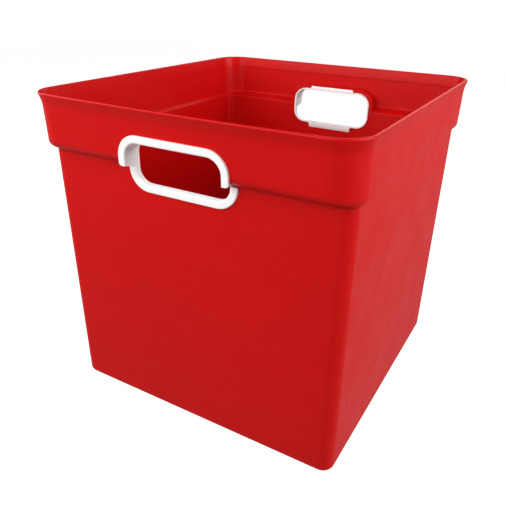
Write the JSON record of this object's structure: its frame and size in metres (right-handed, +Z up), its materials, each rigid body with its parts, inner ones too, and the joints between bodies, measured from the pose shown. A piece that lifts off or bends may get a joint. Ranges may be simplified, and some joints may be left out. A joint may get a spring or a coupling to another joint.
{
  "type": "storage box",
  "caption": "Open-top plastic storage box for art supplies, with tapering walls, a stepped collar, a flared lip and snap-in handle grips around its finger openings.",
  "frame": {"origin": "middle of the bounding box in X and Y, on the surface that the box stands on", "axes": "+Z up to the rim; -Y out through the front handle opening, +Y out through the rear one; +X out of the right side wall, seen from the front"},
  "size_m": [0.2788, 0.3047, 0.267],
  "materials": {
    "shell": "satin moulded polypropylene, red",
    "grip": "satin moulded polypropylene, white"
  },
  "bodies": {
    "root": {"box_shell": "shell", "front_handle_grip": "grip", "rear_handle_grip": "grip"}
  },
  "joints": []
}
